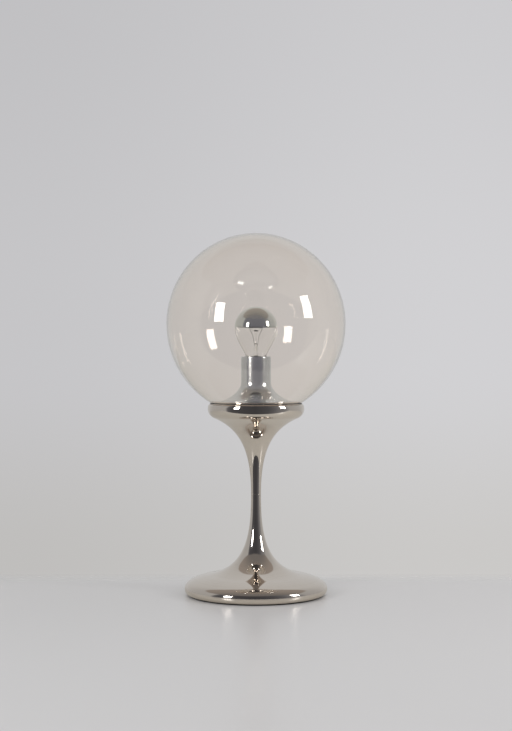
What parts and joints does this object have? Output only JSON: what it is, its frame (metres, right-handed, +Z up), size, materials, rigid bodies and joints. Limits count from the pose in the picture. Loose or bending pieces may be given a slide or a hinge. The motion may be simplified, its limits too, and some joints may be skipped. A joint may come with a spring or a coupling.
{
  "type": "glass globe table lamp",
  "caption": "Table lamp: a clear glass globe on a flared polished nickel pedestal, with a chrome socket sleeve and a silver-crowned screw-in bulb inside.",
  "frame": {"origin": "middle of the foot on the table, at the bottom of the felt pad", "axes": "+Z up along the lamp's axis of revolution, +Y to the back where the cord inlet is, +X to the right seen from the front"},
  "size_m": [0.251, 0.251, 0.5065],
  "materials": {
    "warm_nickel": "polished nickel plate, slightly warm",
    "chrome": "polished chrome plate, neutral",
    "tinted_glass": "clear blown glass with a faint smoky tint",
    "clear_glass": "clear bulb glass",
    "silver_coat": "silvered mirror coat",
    "cap_metal": "drawn bulb cap, bright",
    "black_glass": "black insulating glass",
    "dark_glass": "glass bead with wires fused in",
    "solder": "dull solder",
    "brass": "bright stamped brass",
    "zinc_steel": "zinc-plated steel",
    "cast_iron": "sand-cast iron, painted black",
    "dark_felt": "pressed wool felt, black",
    "seat_rubber": "thin soft ring, black",
    "black_plastic": "moulded bush, black",
    "black_bakelite": "moulded thermoset, black",
    "porcelain": "unglazed porcelain",
    "dark_metal": "thin heat-darkened disc",
    "nickel_wire": "drawn wire",
    "tungsten": "coiled tungsten wire"
  },
  "bodies": {
    "root": {"foot_trumpet": "warm_nickel", "collar_trumpet": "warm_nickel", "cord_inlet_grommet": "black_plastic", "counterweight": "cast_iron", "felt_pad": "dark_felt", "stem_tube": "zinc_steel", "bottom_nut": "zinc_steel", "bottom_washer": "zinc_steel", "waist_bush": "brass", "top_plate": "zinc_steel", "top_washer": "zinc_steel", "top_nut": "zinc_steel", "globe_seat_ring": "seat_rubber", "socket_sleeve": "chrome", "sleeve_bridge": "zinc_steel", "holder_cap": "black_bakelite", "holder_body": "black_bakelite", "holder_base": "porcelain", "holder_thread_shell": "brass", "holder_centre_contact": "brass", "terminal_plates": "brass", "terminal_screws": "zinc_steel"},
    "globe": {"glass_globe": "tinted_glass"},
    "bulb_carrier": {"bulb_tip_contact": "solder"},
    "bulb": {"bulb_envelope": "clear_glass", "bulb_silver_crown": "silver_coat", "bulb_screw_cap": "cap_metal", "bulb_cap_insulator": "black_glass", "bulb_stem": "clear_glass", "bulb_deflector_disc": "dark_metal", "bulb_button": "dark_glass", "bulb_lead_wires": "nickel_wire", "bulb_support_wires": "nickel_wire", "bulb_filament": "tungsten"}
  },
  "joints": [
    {"name": "globe_lift", "type": "slide", "parent": "root", "child": "globe", "axis": [0, 0, 1], "range_m": [0, 0.16]},
    {"name": "bulb_rise", "type": "slide", "parent": "root", "child": "bulb_carrier", "axis": [0, 0, 1], "range_m": [0, 0.0182]},
    {"name": "bulb_turn", "type": "hinge", "parent": "bulb_carrier", "child": "bulb", "pos_m": [0, 0, 0.3], "axis": [0, 0, 1], "range_deg": [0, 1800]}
  ],
  "couplings": [
    {"joint": "bulb_rise", "follows": "bulb_turn", "m_per_rad": 0.00057757}
  ]
}
